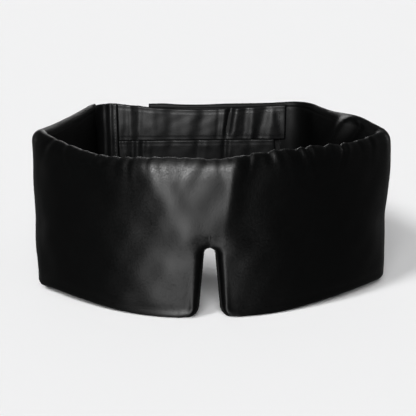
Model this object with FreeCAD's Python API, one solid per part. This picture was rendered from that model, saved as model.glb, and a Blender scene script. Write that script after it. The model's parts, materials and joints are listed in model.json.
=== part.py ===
"""Wrap-around padded sleep eye mask, standing on its lower edge.

A deep padded band covers the eyes and forehead, with a notch for the nose.
Two padded wings fold back from it at the temples. Two narrow elastic straps
leave the right wing, and grip a wide tab that comes round from the left wing.

Millimetres. Left and right are the wearer's: +X is the wearer's left, +Y the
back of the head, +Z up. The origin is the middle of the footprint, on the
surface that the mask stands on.
"""

import FreeCAD, Part

import math
import os

# Front band: an arc in plan, measured on its outer face.
BAND_HEIGHT = 110.0
BAND_THICKNESS = 12.0
OUTER_RADIUS = 171.0
HALF_ANGLE = 47.0
EDGE_RADIUS = 3.2
FABRIC = 0.5

# Nose notch, symmetric about X = 0.
NOTCH_HEIGHT = 51.0
NOTCH_APEX_RADIUS = 5.0
NOTCH_HALF_WIDTH = 8.3
NOTCH_CORNER_RADIUS = 9.0
BINDING_WIDTH = 2.4
BINDING_PROUD = 0.9
BINDING_FOOT = 3.0

# Wings: straight, leaning inwards, thinner and less deep towards the back.
WING_LENGTH = 105.6
WING_LEAN = 21.4
WING_END_THICKNESS = 7.0
WING_FOOT_LENGTH = 40.0
WING_END_BOTTOM = 50.0
WING_SWEEP = 0.45

# Layers at the back, from the hair outwards.
STRAP_THICKNESS = 2.6
HOOK_THICKNESS = 0.8
CLOSURE_GAP = 0.3
LOOP_THICKNESS = 1.0
TAB_THICKNESS = 3.3

# Back straps and the yoke that carries them.
YOKE_BOTTOM = 51.0
YOKE_TOP = 109.5
STRAP_AXIS_X = -66.5
STRAP_CORNER = 3.0
PATCH_CORNER = 2.0
PANEL_CORNER = 1.0
ELASTIC_THICKNESS = 1.2
ELASTIC_INSET = 3.0
HOOK_LENGTH = 34.0
HOOK_MARGIN = 3.5

# Rear tab.
TAB_BOTTOM = 50.5
TAB_TOP = 110.0
TAB_AXIS_X = 66.5
TAB_END_X = -42.0
LOOP_MARGIN = 4.0

# Thread, and the clearance that every fold keeps on each side.
STITCH_LENGTH = 2.8
STITCH_PITCH = 4.0
STITCH_WIDTH = 0.6
STITCH_PROUD = 0.3
SEAM_INSET = 1.6
FOLD_CLEARANCE = 0.25
FAR = 400.0
MITRE_OVERRUN = 8.0

# Plan geometry that follows from the dimensions above.
MID_RADIUS = OUTER_RADIUS - BAND_THICKNESS / 2
LEAN = math.radians(WING_LEAN)
ARC_SAG = OUTER_RADIUS * (1 - math.cos(math.radians(HALF_ANGLE)))
WING_DEPTH = WING_LENGTH * math.cos(LEAN) - WING_END_THICKNESS * math.sin(LEAN)
BACK_LAYERS = STRAP_THICKNESS + HOOK_THICKNESS + CLOSURE_GAP + LOOP_THICKNESS + TAB_THICKNESS
DEPTH = ARC_SAG + WING_DEPTH + BACK_LAYERS

FRONT_Y = -DEPTH / 2
ARC_CENTRE_Y = FRONT_Y + OUTER_RADIUS
TEMPLE = FreeCAD.Vector(OUTER_RADIUS * math.sin(math.radians(HALF_ANGLE)), FRONT_Y + ARC_SAG, 0)
WING_ALONG = FreeCAD.Vector(-math.sin(LEAN), math.cos(LEAN), 0)
WING_OUT = FreeCAD.Vector(math.cos(LEAN), math.sin(LEAN), 0)
WING_CORNER = TEMPLE + WING_ALONG * WING_LENGTH
REAR_AXIS = WING_CORNER - WING_OUT * WING_END_THICKNESS

STRAP_INNER_Y = REAR_AXIS.y
STRAP_OUTER_Y = STRAP_INNER_Y + STRAP_THICKNESS
HOOK_FACE_Y = STRAP_OUTER_Y + HOOK_THICKNESS
LOOP_FACE_Y = HOOK_FACE_Y + CLOSURE_GAP
TAB_INNER_Y = LOOP_FACE_Y + LOOP_THICKNESS
TAB_OUTER_Y = TAB_INNER_Y + TAB_THICKNESS

TEMPLE_MITRE = math.radians((90 + HALF_ANGLE + 180 + WING_LEAN) / 2)
REAR_MITRE = math.radians((90 + WING_LEAN) / 2)

# (name, bottom, top, free end) of the two straps.
STRAPS = (
    ("upper", 81.0, 109.0, 66.0),
    ("lower", 52.0, 79.6, 61.5),
)


def direction(angle):
    """Unit vector in plan at an angle in radians from +X."""
    return FreeCAD.Vector(math.cos(angle), math.sin(angle), 0)


def prism(points, bottom, top):
    """Upright prism on a polygon in plan."""
    base = [FreeCAD.Vector(p.x, p.y, bottom) for p in points]
    return Part.Face(Part.makePolygon(base + base[:1])).extrude(FreeCAD.Vector(0, 0, top - bottom))


def beyond(point, angle, side, offset):
    """Everything on one side of an upright plane through point; side is +1 for its left."""
    along = direction(angle)
    left = FreeCAD.Vector(-along.y, along.x, 0) * side
    start = point + left * offset
    corners = [start - along * FAR, start + along * FAR]
    corners += [start + along * FAR + left * FAR, start - along * FAR + left * FAR]
    return prism(corners, -FAR, FAR)


def mirrored(shape):
    """The same shape on the other side of X = 0."""
    return shape.mirror(FreeCAD.Vector(0, 0, 0), FreeCAD.Vector(1, 0, 0))


def rounded_rectangle(x0, x1, z0, z1, radius, y=0.0):
    """Face in the XZ plane with round corners."""
    diagonal = radius * (1 - math.sqrt(0.5))
    sides = (
        ((x0 + radius, z0), (x1 - radius, z0), (x1 - diagonal, z0 + diagonal), (x1, z0 + radius)),
        ((x1, z0 + radius), (x1, z1 - radius), (x1 - diagonal, z1 - diagonal), (x1 - radius, z1)),
        ((x1 - radius, z1), (x0 + radius, z1), (x0 + diagonal, z1 - diagonal), (x0, z1 - radius)),
        ((x0, z1 - radius), (x0, z0 + radius), (x0 + diagonal, z0 + diagonal), (x0 + radius, z0)),
    )
    edges = []
    for side in sides:
        start, end, bend, turned = (FreeCAD.Vector(px, y, pz) for px, pz in side)
        edges.append(Part.makeLine(start, end))
        edges.append(Part.Arc(end, bend, turned).toShape())
    return Part.Face(Part.Wire(edges))


def plate(x0, x1, z0, z1, y0, y1, corner=STRAP_CORNER):
    """Flat panel that stands on edge, with round corners."""
    return rounded_rectangle(x0, x1, z0, z1, corner, y0).extrude(FreeCAD.Vector(0, y1 - y0, 0))


def notch_face():
    """Outline of the nose notch in the XZ plane; it runs on below the mask."""
    shoulder = NOTCH_HEIGHT - NOTCH_APEX_RADIUS
    corner = NOTCH_CORNER_RADIUS
    outer = NOTCH_HALF_WIDTH + corner
    slack = corner * (1 - math.sqrt(0.5))

    def at(x, z):
        return FreeCAD.Vector(x, 0, z)

    right, left = at(NOTCH_APEX_RADIUS, shoulder), at(-NOTCH_APEX_RADIUS, shoulder)
    edges = [Part.Arc(right, at(0, NOTCH_HEIGHT), left).toShape()]
    for side in (1, -1):
        top = at(side * NOTCH_APEX_RADIUS, shoulder)
        waist = at(side * NOTCH_HALF_WIDTH, corner)
        bend = at(side * (NOTCH_HALF_WIDTH + slack), slack)
        foot = at(side * outer, 0)
        edges.append(Part.makeLine(top, waist))
        edges.append(Part.Arc(waist, bend, foot).toShape())
        edges.append(Part.makeLine(foot, at(side * outer, -corner)))
    edges.append(Part.makeLine(at(outer, -corner), at(-outer, -corner)))
    return Part.Face(Part.Wire(Part.__sortEdges__(edges)))


def through_front(face):
    """A face in the XZ plane pushed through the middle of the front band."""
    cut = face.copy()
    cut.translate(FreeCAD.Vector(0, FRONT_Y - BAND_THICKNESS, 0))
    return cut.extrude(FreeCAD.Vector(0, 4 * BAND_THICKNESS, 0))


def front_band(inset):
    """Solid band on the front arc, inset on all sides, cut to its mitres and notch."""
    face = rounded_rectangle(
        MID_RADIUS - BAND_THICKNESS / 2 + inset,
        OUTER_RADIUS - inset,
        inset,
        BAND_HEIGHT - inset,
        EDGE_RADIUS - inset,
    )
    half_turn = HALF_ANGLE + MITRE_OVERRUN
    face.rotate(FreeCAD.Vector(0, 0, 0), FreeCAD.Vector(0, 0, 1), -90 - half_turn)
    band = face.revolve(FreeCAD.Vector(0, 0, 0), FreeCAD.Vector(0, 0, 1), 2 * half_turn)
    band.translate(FreeCAD.Vector(0, ARC_CENTRE_Y, 0))
    wing_side = beyond(TEMPLE, TEMPLE_MITRE, -1, -FOLD_CLEARANCE)
    outline = notch_face()
    if inset:
        outline = outline.makeOffset2D(inset)
    return band.cut(wing_side).cut(mirrored(wing_side)).cut(through_front(outline))


def annulus(inner, outer, bottom, top):
    """Upright ring about the front arc's centre."""
    base = FreeCAD.Vector(0, ARC_CENTRE_Y, bottom)
    return Part.makeCylinder(outer, top - bottom, base).cut(Part.makeCylinder(inner, top - bottom, base))


def front_parts():
    """Outer panel, lining and padding of the front, and the binding of its notch."""
    padding = front_band(FABRIC)
    skin = front_band(0.0).cut(padding)
    middle = Part.makeCylinder(MID_RADIUS, 2 * FAR, FreeCAD.Vector(0, ARC_CENTRE_Y, -FAR))
    outline = notch_face()
    bead = through_front(outline.cut(outline.makeOffset2D(-BINDING_PROUD)))
    ring = annulus(MID_RADIUS - BINDING_WIDTH / 2, MID_RADIUS + BINDING_WIDTH / 2, BINDING_FOOT, BAND_HEIGHT)
    return {
        "front_outer_panel": skin.cut(middle),
        "front_lining": skin.common(middle),
        "front_padding": padding,
        "notch_binding": bead.common(ring),
    }


def wing_outline(inset):
    """Side view of a wing as a face in the plane of its outer face, pushed through it."""

    def at(along, height):
        spot = TEMPLE + WING_ALONG * along + WING_OUT * BAND_THICKNESS
        return FreeCAD.Vector(spot.x, spot.y, height)

    low, high, top = inset, WING_END_BOTTOM + inset, BAND_HEIGHT - inset
    start, end = -2 * BAND_THICKNESS, WING_LENGTH + 2 * BAND_THICKNESS
    rise = WING_LENGTH - WING_FOOT_LENGTH
    sweep = Part.BezierCurve()
    sweep.setPoles([
        at(WING_FOOT_LENGTH, low),
        at(WING_FOOT_LENGTH + rise * WING_SWEEP, low),
        at(WING_LENGTH - rise * WING_SWEEP, high),
        at(WING_LENGTH, high),
    ])
    edges = [
        Part.makeLine(at(start, low), at(WING_FOOT_LENGTH, low)),
        sweep.toShape(),
        Part.makeLine(at(WING_LENGTH, high), at(end, high)),
        Part.makeLine(at(end, high), at(end, top)),
        Part.makeLine(at(end, top), at(start, top)),
        Part.makeLine(at(start, top), at(start, low)),
    ]
    return Part.Face(Part.Wire(edges)).extrude(WING_OUT * (-4 * BAND_THICKNESS))


def wing_solid(inset):
    """Padded wing on the +X side, inset on its faces, edges and back end."""
    overrun = 2 * BAND_THICKNESS
    inner_front = TEMPLE - WING_OUT * BAND_THICKNESS
    inner_along = (REAR_AXIS - inner_front).normalize()
    inner_out = FreeCAD.Vector(inner_along.y, -inner_along.x, 0)
    plan = [
        TEMPLE - WING_ALONG * overrun - WING_OUT * inset,
        WING_CORNER + WING_ALONG * overrun - WING_OUT * inset,
        REAR_AXIS + inner_along * overrun + inner_out * inset,
        inner_front - inner_along * overrun + inner_out * inset,
    ]
    wing = prism(plan, -FAR, FAR).common(wing_outline(inset))
    wing = wing.cut(beyond(TEMPLE, TEMPLE_MITRE, 1, -FOLD_CLEARANCE))
    wing = wing.cut(beyond(REAR_AXIS, REAR_MITRE, 1, -FOLD_CLEARANCE - inset))
    corner_width = BAND_THICKNESS / math.cos(math.radians((HALF_ANGLE + WING_LEAN) / 2))
    long_edges = [
        edge for edge in wing.Edges
        if math.hypot(edge.BoundBox.XLength, edge.BoundBox.YLength) > corner_width
    ]
    return wing.makeFillet(EDGE_RADIUS - inset, long_edges)


def wing_parts():
    """Outer panel, lining and padding of the wing on the +X side."""
    padding = wing_solid(FABRIC)
    skin = wing_solid(0.0).cut(padding)
    front_middle = TEMPLE - WING_OUT * (BAND_THICKNESS / 2)
    rear_middle = WING_CORNER - WING_OUT * (WING_END_THICKNESS / 2)
    along = rear_middle - front_middle
    outside = beyond(front_middle, math.atan2(along.y, along.x), -1, 0.0)
    return {
        "outer_panel": skin.common(outside),
        "lining": skin.cut(outside),
        "padding": padding,
    }


def stitch_row(start, end, face_y, towards):
    """Separate stitches along a line on a face that looks along +Y or -Y."""
    run = end - start
    count = max(2, int(run.Length // STITCH_PITCH))
    step = run / count
    upright = abs(run.z) > abs(run.x)
    size_x, size_z = (STITCH_WIDTH, STITCH_LENGTH) if upright else (STITCH_LENGTH, STITCH_WIDTH)
    low_y = face_y if towards > 0 else face_y - STITCH_PROUD
    stitches = []
    for index in range(count):
        middle = start + step * (index + 0.5)
        corner = FreeCAD.Vector(middle.x - size_x / 2, low_y, middle.z - size_z / 2)
        stitches.append(Part.makeBox(size_x, STITCH_PROUD, size_z, corner))
    return stitches


def stitch_frame(x0, x1, z0, z1, face_y, towards):
    """Four rows of stitches round a rectangle, clear of each other at the corners."""
    clear = STITCH_LENGTH / 2

    def at(x, z):
        return FreeCAD.Vector(x, 0, z)

    stitches = []
    for z in (z0, z1):
        stitches += stitch_row(at(x0 + clear, z), at(x1 - clear, z), face_y, towards)
    for x in (x0, x1):
        stitches += stitch_row(at(x, z0 + clear), at(x, z1 - clear), face_y, towards)
    return Part.makeCompound(stitches)


def yoke_parts():
    """Gathered satin yoke that joins both straps to the wing at -X, and its seam."""
    end_x = STRAP_AXIS_X - FOLD_CLEARANCE
    far_x = -REAR_AXIS.x - FAR
    yoke = plate(far_x, end_x, YOKE_BOTTOM, YOKE_TOP, STRAP_INNER_Y, STRAP_OUTER_Y, PANEL_CORNER)
    axis = FreeCAD.Vector(-REAR_AXIS.x, REAR_AXIS.y, 0)
    yoke = yoke.cut(beyond(axis, math.pi - REAR_MITRE, 1, -FOLD_CLEARANCE))
    seam_x = end_x - SEAM_INSET
    bottom = FreeCAD.Vector(seam_x, 0, YOKE_BOTTOM + SEAM_INSET)
    top = FreeCAD.Vector(seam_x, 0, YOKE_TOP - SEAM_INSET)
    seam = stitch_row(bottom, top, STRAP_INNER_Y, -1)
    return {"strap_yoke": yoke, "yoke_stitching": Part.makeCompound(seam)}


def strap_parts(name, bottom, top, end_x):
    """One back strap: satin casing, elastic inside it, hook patch and its stitching."""
    start_x = STRAP_AXIS_X + FOLD_CLEARANCE
    casing = plate(start_x, end_x, bottom, top, STRAP_INNER_Y, STRAP_OUTER_Y)
    inner, outer = STRAP_INNER_Y + FABRIC, STRAP_OUTER_Y - FABRIC
    pocket = plate(start_x - 4 * STRAP_CORNER, end_x - FABRIC, bottom + FABRIC, top - FABRIC, inner, outer)
    middle = (STRAP_INNER_Y + STRAP_OUTER_Y) / 2
    elastic = plate(
        start_x,
        end_x - HOOK_LENGTH - 2 * HOOK_MARGIN,
        bottom + ELASTIC_INSET,
        top - ELASTIC_INSET,
        middle - ELASTIC_THICKNESS / 2,
        middle + ELASTIC_THICKNESS / 2,
        PANEL_CORNER,
    )
    patch = (end_x - HOOK_MARGIN - HOOK_LENGTH, end_x - HOOK_MARGIN, bottom + HOOK_MARGIN, top - HOOK_MARGIN)
    stitched = (
        patch[0] + SEAM_INSET,
        patch[1] - SEAM_INSET,
        patch[2] + SEAM_INSET,
        patch[3] - SEAM_INSET,
    )
    return {
        f"{name}_strap_casing": casing.cut(pocket),
        f"{name}_strap_elastic": elastic,
        f"{name}_hook_patch": plate(*patch, STRAP_OUTER_Y, HOOK_FACE_Y, PATCH_CORNER),
        f"{name}_hook_stitching": stitch_frame(*stitched, STRAP_INNER_Y, -1),
    }


def tab_parts():
    """Rear tab from the wing at +X: its root at the corner, casing, stiffener and loop panel."""
    root_x = TAB_AXIS_X + FOLD_CLEARANCE
    start_x = TAB_AXIS_X - FOLD_CLEARANCE
    far_x = REAR_AXIS.x + FAR
    root = plate(root_x, far_x, TAB_BOTTOM, TAB_TOP, TAB_INNER_Y, TAB_OUTER_Y, PANEL_CORNER)
    root = root.cut(beyond(REAR_AXIS, REAR_MITRE, -1, -FOLD_CLEARANCE))
    casing = plate(TAB_END_X, start_x, TAB_BOTTOM, TAB_TOP, TAB_INNER_Y, TAB_OUTER_Y)
    pocket = (TAB_END_X + FABRIC, start_x + 4 * STRAP_CORNER, TAB_BOTTOM + FABRIC, TAB_TOP - FABRIC)
    casing = casing.cut(plate(*pocket, TAB_INNER_Y + FABRIC, TAB_OUTER_Y - FABRIC))
    stiffener = plate(
        TAB_END_X + 2 * FABRIC,
        start_x,
        TAB_BOTTOM + 2 * FABRIC,
        TAB_TOP - 2 * FABRIC,
        TAB_INNER_Y + 2 * FABRIC,
        TAB_OUTER_Y - 2 * FABRIC,
    )
    loop = (TAB_END_X + LOOP_MARGIN, start_x - LOOP_MARGIN, TAB_BOTTOM + LOOP_MARGIN, TAB_TOP - LOOP_MARGIN)
    around = (loop[0] - SEAM_INSET, loop[1] + SEAM_INSET, loop[2] - SEAM_INSET, loop[3] + SEAM_INSET)
    return {
        "tab_root": root,
        "tab_casing": casing,
        "tab_stiffener": stiffener,
        "loop_panel": plate(*loop, LOOP_FACE_Y, TAB_INNER_Y, PATCH_CORNER),
        "loop_stitching": stitch_frame(*around, TAB_INNER_Y, -1),
    }


def build():
    """Every sub-part of the mask, by node name."""
    parts = front_parts()
    for name, shape in wing_parts().items():
        parts[f"left_wing_{name}"] = shape
        parts[f"right_wing_{name}"] = mirrored(shape)
    parts.update(yoke_parts())
    for strap in STRAPS:
        parts.update(strap_parts(*strap))
    parts.update(tab_parts())
    return parts


def main():
    """Write one STEP file per sub-part and print what the joints turn about."""
    os.makedirs("parts", exist_ok=True)
    box = FreeCAD.BoundBox()
    for name, shape in build().items():
        assert shape.isValid() and shape.Volume > 0, name
        shape.exportStep(f"parts/{name}.step")
        box.add(shape.BoundBox)
        print(f"{name}: {len(shape.Solids)} solids, {shape.Volume:.1f} mm3")
    print("box", [round(v, 3) for v in (box.XMin, box.XMax, box.YMin, box.YMax, box.ZMin, box.ZMax)])
    print("temple axis", round(TEMPLE.x, 3), round(TEMPLE.y, 3))
    print("rear axis", round(REAR_AXIS.x, 3), round(REAR_AXIS.y, 3))
    print("strap axis", STRAP_AXIS_X, round(STRAP_INNER_Y, 3))
    print("tab axis", TAB_AXIS_X, round(TAB_OUTER_Y, 3))


main()
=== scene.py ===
"""Wrap-around padded sleep eye mask in black satin, standing on its lower edge."""

import json
import logging
import math
from collections.abc import Callable
from dataclasses import dataclass, field, replace
from enum import Enum

import bpy
import numpy as np
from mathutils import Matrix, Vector
from mathutils.kdtree import KDTree


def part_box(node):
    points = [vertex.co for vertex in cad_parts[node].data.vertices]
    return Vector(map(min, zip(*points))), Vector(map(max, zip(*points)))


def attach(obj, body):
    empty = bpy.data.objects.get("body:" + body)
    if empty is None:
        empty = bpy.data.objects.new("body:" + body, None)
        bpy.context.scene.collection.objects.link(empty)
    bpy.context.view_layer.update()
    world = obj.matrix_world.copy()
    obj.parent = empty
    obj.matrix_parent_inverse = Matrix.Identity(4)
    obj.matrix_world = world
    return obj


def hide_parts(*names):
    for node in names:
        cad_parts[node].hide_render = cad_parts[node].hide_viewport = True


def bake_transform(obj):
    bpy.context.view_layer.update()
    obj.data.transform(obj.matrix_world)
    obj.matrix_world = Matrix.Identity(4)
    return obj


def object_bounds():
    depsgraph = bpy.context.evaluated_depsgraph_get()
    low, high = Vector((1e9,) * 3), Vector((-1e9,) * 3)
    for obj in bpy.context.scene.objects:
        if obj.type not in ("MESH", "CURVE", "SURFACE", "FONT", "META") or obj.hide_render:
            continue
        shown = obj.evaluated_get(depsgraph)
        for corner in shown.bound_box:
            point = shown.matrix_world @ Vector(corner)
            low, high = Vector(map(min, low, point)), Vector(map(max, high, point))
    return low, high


LOG = logging.getLogger("sleep_mask")
MM = 0.001
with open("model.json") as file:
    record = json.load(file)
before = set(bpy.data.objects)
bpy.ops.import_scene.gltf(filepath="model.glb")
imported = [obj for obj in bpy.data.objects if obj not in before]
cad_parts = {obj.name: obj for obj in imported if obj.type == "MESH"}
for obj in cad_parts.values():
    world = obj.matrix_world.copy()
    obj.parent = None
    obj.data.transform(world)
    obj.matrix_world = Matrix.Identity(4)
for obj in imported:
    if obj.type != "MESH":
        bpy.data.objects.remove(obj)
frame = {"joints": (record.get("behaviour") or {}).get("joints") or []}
CAD_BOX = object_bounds()


class Side(Enum):
    """The wearer's sides, as the sign of X."""

    LEFT = 1
    RIGHT = -1


class Face(Enum):
    """The two faces of the band."""

    OUTER = 1
    INNER = -1


class Body(Enum):
    """The rigid bodies of the frame."""

    FRONT = "front"
    LEFT_WING = "left_wing"
    RIGHT_WING = "right_wing"
    YOKE = "yoke"
    UPPER_STRAP = "upper_strap"
    LOWER_STRAP = "lower_strap"
    TAB_ROOT = "tab_root"
    TAB = "tab"


def bump(x: np.ndarray) -> np.ndarray:
    """Bell curve with height 1 and unit width."""
    return np.exp(-x * x)


def ease(x: np.ndarray) -> np.ndarray:
    """Smooth step from 0 to 1."""
    t = np.clip(x, 0.0, 1.0)
    return t * t * (3 - 2 * t)


def joint_place(name: str) -> Vector:
    """Where a joint of the frame turns, in metres.

    Args:
        name: the joint's name.

    Returns:
        A point on the joint's axis.
    """
    return Vector(next(j["pos_m"] for j in frame["joints"] if j["name"] == name))


def graded(length: float, step: float, start: float = 0.0, end: float = 0.0, turn: int = 6) -> np.ndarray:
    """Places along a length, close together where a rolled edge starts or ends.

    Args:
        length: the whole length.
        step: the spacing away from the edges.
        start: radius of the roll at the start, or 0 for none.
        end: radius of the roll at the end, or 0 for none.
        turn: how many places each roll takes.

    Returns:
        Rising distances from 0 to length.
    """
    angles = np.linspace(0, math.pi / 2, turn + 1)
    low = start * (1 - np.cos(angles)) if start else np.array([0.0])
    high = length - end * (1 - np.cos(angles))[::-1] if end else np.array([length])
    count = max(2, int(round((high[0] - low[-1]) / step)))
    middle = np.linspace(low[-1], high[0], count + 1)[1:-1]
    return np.concatenate([low, middle, high])


@dataclass
class Ripples:
    """Smooth repeatable undulation, a sum of waves in random directions."""

    seed: int
    length: float
    waves: int = 9
    stretch: float = 1.0

    def __call__(self, a: np.ndarray, b: np.ndarray) -> np.ndarray:
        """Height from about -1 to 1 at places (a, b).

        Args:
            a: distance one way.
            b: distance the other way.

        Returns:
            The height at each place.
        """
        draw = np.random.default_rng(self.seed)
        total = np.zeros(np.broadcast(a, b).shape)
        for _ in range(self.waves):
            angle = draw.uniform(0, math.pi)
            turns = 2 * math.pi / (self.length * draw.uniform(0.7, 1.6))
            phase = draw.uniform(0, 2 * math.pi)
            total = total + np.cos(turns * (a * math.cos(angle) + b * math.sin(angle) * self.stretch) + phase)
        return total / math.sqrt(self.waves) / 1.4


class ClothMesh:
    """Builds Blender meshes from arrays."""

    @staticmethod
    def make(name: str, points: np.ndarray, faces: np.ndarray, uv: np.ndarray | None = None,
             normals: np.ndarray | None = None) -> bpy.types.Object:
        """A smooth mesh object.

        Args:
            name: the object's name.
            points: one row per vertex, in metres.
            faces: one row of vertex numbers per face.
            uv: one row per vertex, in metres over the cloth.
            normals: one row per vertex, where the shading must match a neighbour.

        Returns:
            The new object, linked to the scene.
        """
        used, index = np.unique(faces, return_inverse=True)
        index = index.reshape(faces.shape)
        mesh = bpy.data.meshes.new(name)
        mesh.from_pydata(points[used].tolist(), [], index.tolist())
        mesh.polygons.foreach_set("use_smooth", np.ones(len(mesh.polygons), bool))
        if uv is not None:
            layer = mesh.uv_layers.new(name="cloth")
            layer.data.foreach_set("uv", uv[used][index].reshape(-1).astype(np.float32))
        if normals is not None:
            mesh.normals_split_custom_set_from_vertices(normals[used].tolist())
        mesh.validate()
        mesh.update()
        item = bpy.data.objects.new(name, mesh)
        bpy.context.scene.collection.objects.link(item)
        return item

    @staticmethod
    def grid_faces(rows: int, columns: int, closed: bool = False) -> np.ndarray:
        """Faces of a grid of vertices numbered row by row.

        Args:
            rows: number of rows.
            columns: number of columns.
            closed: True to join the last row to the first.

        Returns:
            One row of four vertex numbers per face.
        """
        row = np.arange(rows if closed else rows - 1)[:, None]
        column = np.arange(columns - 1)[None, :]
        after = (row + 1) % rows
        corners = [row * columns + column, row * columns + column + 1]
        corners += [after * columns + column + 1, after * columns + column]
        return np.stack([c.reshape(-1) for c in np.broadcast_arrays(*corners)], axis=1)


@dataclass
class BandPath:
    """The band's outer face in plan: front arc, temple, wing, back corner and tab.

    Distances run from the middle of the front. Mirror the result for the right side.
    """

    front_y: float
    back_y: float
    temple: Vector
    radius: float = 171 * MM
    lean: float = math.radians(21.4)
    temple_radius: float = 15 * MM
    corner_radius: float = 24 * MM
    wing_length: float = 105.6 * MM
    front_thickness: float = 12 * MM
    wing_end_thickness: float = 7 * MM
    tab_thickness: float = 3.3 * MM
    arc_end: float = field(init=False)
    temple_end: float = field(init=False)
    corner_start: float = field(init=False)
    corner_end: float = field(init=False)

    def __post_init__(self) -> None:
        """Find where each stretch of the path ends."""
        lean = self.lean
        out = np.array([math.cos(lean), math.sin(lean)])
        along = np.array([-math.sin(lean), math.cos(lean)])
        centre = np.array([0.0, self.front_y + self.radius])
        corner = np.array([self.temple.x, self.temple.y])
        reach = self.radius - self.temple_radius
        offset = -self.temple_radius - float((centre - corner) @ out)
        turn = lean + math.asin(offset / reach)
        middle = centre + reach * np.array([math.sin(turn), -math.cos(turn)])
        self.centre = centre
        self.turn = turn
        self.temple_middle = middle
        self.out = out
        self.along = along
        self.wing_start = middle + out * self.temple_radius
        self.arc_end = self.radius * turn
        self.temple_turn = math.pi / 2 + lean - turn
        self.temple_end = self.arc_end + self.temple_radius * self.temple_turn
        run_to_back = (self.back_y - self.wing_start[1]) / along[1]
        self.back_turn = math.pi / 2 - lean
        cut = self.corner_radius * math.tan(self.back_turn / 2)
        self.corner_start = self.temple_end + run_to_back - cut
        self.corner_end = self.corner_start + self.corner_radius * self.back_turn
        back_start = self.wing_start + along * (self.corner_start - self.temple_end)
        self.corner_middle = back_start - out * self.corner_radius
        self.tab_start = self.corner_middle + np.array([0.0, self.corner_radius])

    def wing_place(self, s: np.ndarray) -> np.ndarray:
        """Distance back from the temple corner along the wing, for a path distance."""
        first = float((self.wing_start - np.array([self.temple.x, self.temple.y])) @ self.along)
        return s - self.temple_end + first

    def path_place(self, u: float) -> float:
        """Path distance of a place u behind the temple corner on the wing."""
        return u + self.temple_end - float(self.wing_place(np.array(self.temple_end)))

    def thickness(self, s: np.ndarray) -> np.ndarray:
        """Full thickness of the band at a path distance."""
        back = np.clip(self.wing_place(s) / self.wing_length, 0, 1)
        wing = self.front_thickness + (self.wing_end_thickness - self.front_thickness) * back
        fade = ease((s - self.corner_start + 6 * MM) / (self.corner_end - self.corner_start + 12 * MM))
        return wing + (self.tab_thickness - wing) * fade

    def at(self, s: np.ndarray, depth: np.ndarray) -> tuple[np.ndarray, np.ndarray]:
        """Place in plan.

        Args:
            s: path distance, negative on the right side.
            depth: distance inwards from the outer face.

        Returns:
            X and Y.
        """
        sign, s = np.where(s < 0, -1.0, 1.0), np.abs(s)
        angle = s / self.radius
        x = self.centre[0] + (self.radius - depth) * np.sin(angle)
        y = self.centre[1] - (self.radius - depth) * np.cos(angle)
        angle = self.turn + (s - self.arc_end) / self.temple_radius
        bent = (s > self.arc_end) & (s <= self.temple_end)
        x = np.where(bent, self.temple_middle[0] + (self.temple_radius - depth) * np.sin(angle), x)
        y = np.where(bent, self.temple_middle[1] - (self.temple_radius - depth) * np.cos(angle), y)
        run = s - self.temple_end
        straight = (s > self.temple_end) & (s <= self.corner_start)
        x = np.where(straight, self.wing_start[0] + self.along[0] * run - self.out[0] * depth, x)
        y = np.where(straight, self.wing_start[1] + self.along[1] * run - self.out[1] * depth, y)
        angle = self.lean + (s - self.corner_start) / self.corner_radius
        bent = (s > self.corner_start) & (s <= self.corner_end)
        x = np.where(bent, self.corner_middle[0] + (self.corner_radius - depth) * np.cos(angle), x)
        y = np.where(bent, self.corner_middle[1] + (self.corner_radius - depth) * np.sin(angle), y)
        past = s > self.corner_end
        x = np.where(past, self.tab_start[0] - (s - self.corner_end), x)
        y = np.where(past, self.tab_start[1] - depth, y)
        return sign * x, y


@dataclass
class Notch:
    """Outline of the nose notch in the flat cloth, right half."""

    height: float = 51 * MM
    apex_radius: float = 5 * MM
    half_width: float = 8.3 * MM
    corner_radius: float = 9 * MM
    samples: int = 24

    def corner(self) -> np.ndarray:
        """The rounded lower corner of the leg, from the wall down to the floor."""
        angle = np.linspace(math.pi, 1.5 * math.pi, 2 * self.samples + 1)
        x = self.half_width + self.corner_radius * (1 + np.cos(angle))
        z = self.corner_radius * (1 + np.sin(angle))
        return np.stack([x, z], axis=1)

    def side(self) -> np.ndarray:
        """The notch from the middle of the leg's corner up to the apex."""
        corner = self.corner()[: self.samples + 1][::-1]
        shoulder = self.height - self.apex_radius
        rise = np.linspace(0, 1, 3 * self.samples)[1:, None]
        wall = corner[-1] + (np.array([self.apex_radius, shoulder]) - corner[-1]) * rise
        angle = np.linspace(0, math.pi / 2, self.samples)[1:]
        arc = np.stack([np.cos(angle), np.sin(angle)], axis=1) * self.apex_radius
        return np.concatenate([corner, wall, arc + np.array([0.0, shoulder])])

    def outline(self) -> np.ndarray:
        """The whole right half, from the floor to the apex."""
        return np.concatenate([self.corner()[self.samples + 1:][::-1], self.side()])

    def distance(self, s: np.ndarray, z: np.ndarray) -> np.ndarray:
        """Distance from the notch's edge.

        Args:
            s: path distance.
            z: height.

        Returns:
            The distance of each place from the nearest point of the outline.
        """
        line = self.outline()
        starts, runs = line[:-1], np.diff(line, axis=0)
        place = np.stack([np.abs(s).reshape(-1), z.reshape(-1)], axis=1)
        best = np.full(len(place), np.inf)
        for start, run in zip(starts, runs):
            t = np.clip((place - start) @ run / (run @ run), 0, 1)
            gap = place - start - t[:, None] * run
            best = np.minimum(best, np.sqrt((gap * gap).sum(axis=1)))
        return best.reshape(s.shape)


def resample(line: np.ndarray, places: np.ndarray) -> np.ndarray:
    """Points on a line at shares of its length from 0 to 1.

    Args:
        line: the line's points.
        places: the shares.

    Returns:
        One point per share.
    """
    run = np.concatenate([[0], np.cumsum(np.linalg.norm(np.diff(line, axis=0), axis=1))])
    run = run / run[-1]
    return np.stack([np.interp(places, run, line[:, k]) for k in range(line.shape[1])], axis=1)


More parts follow.
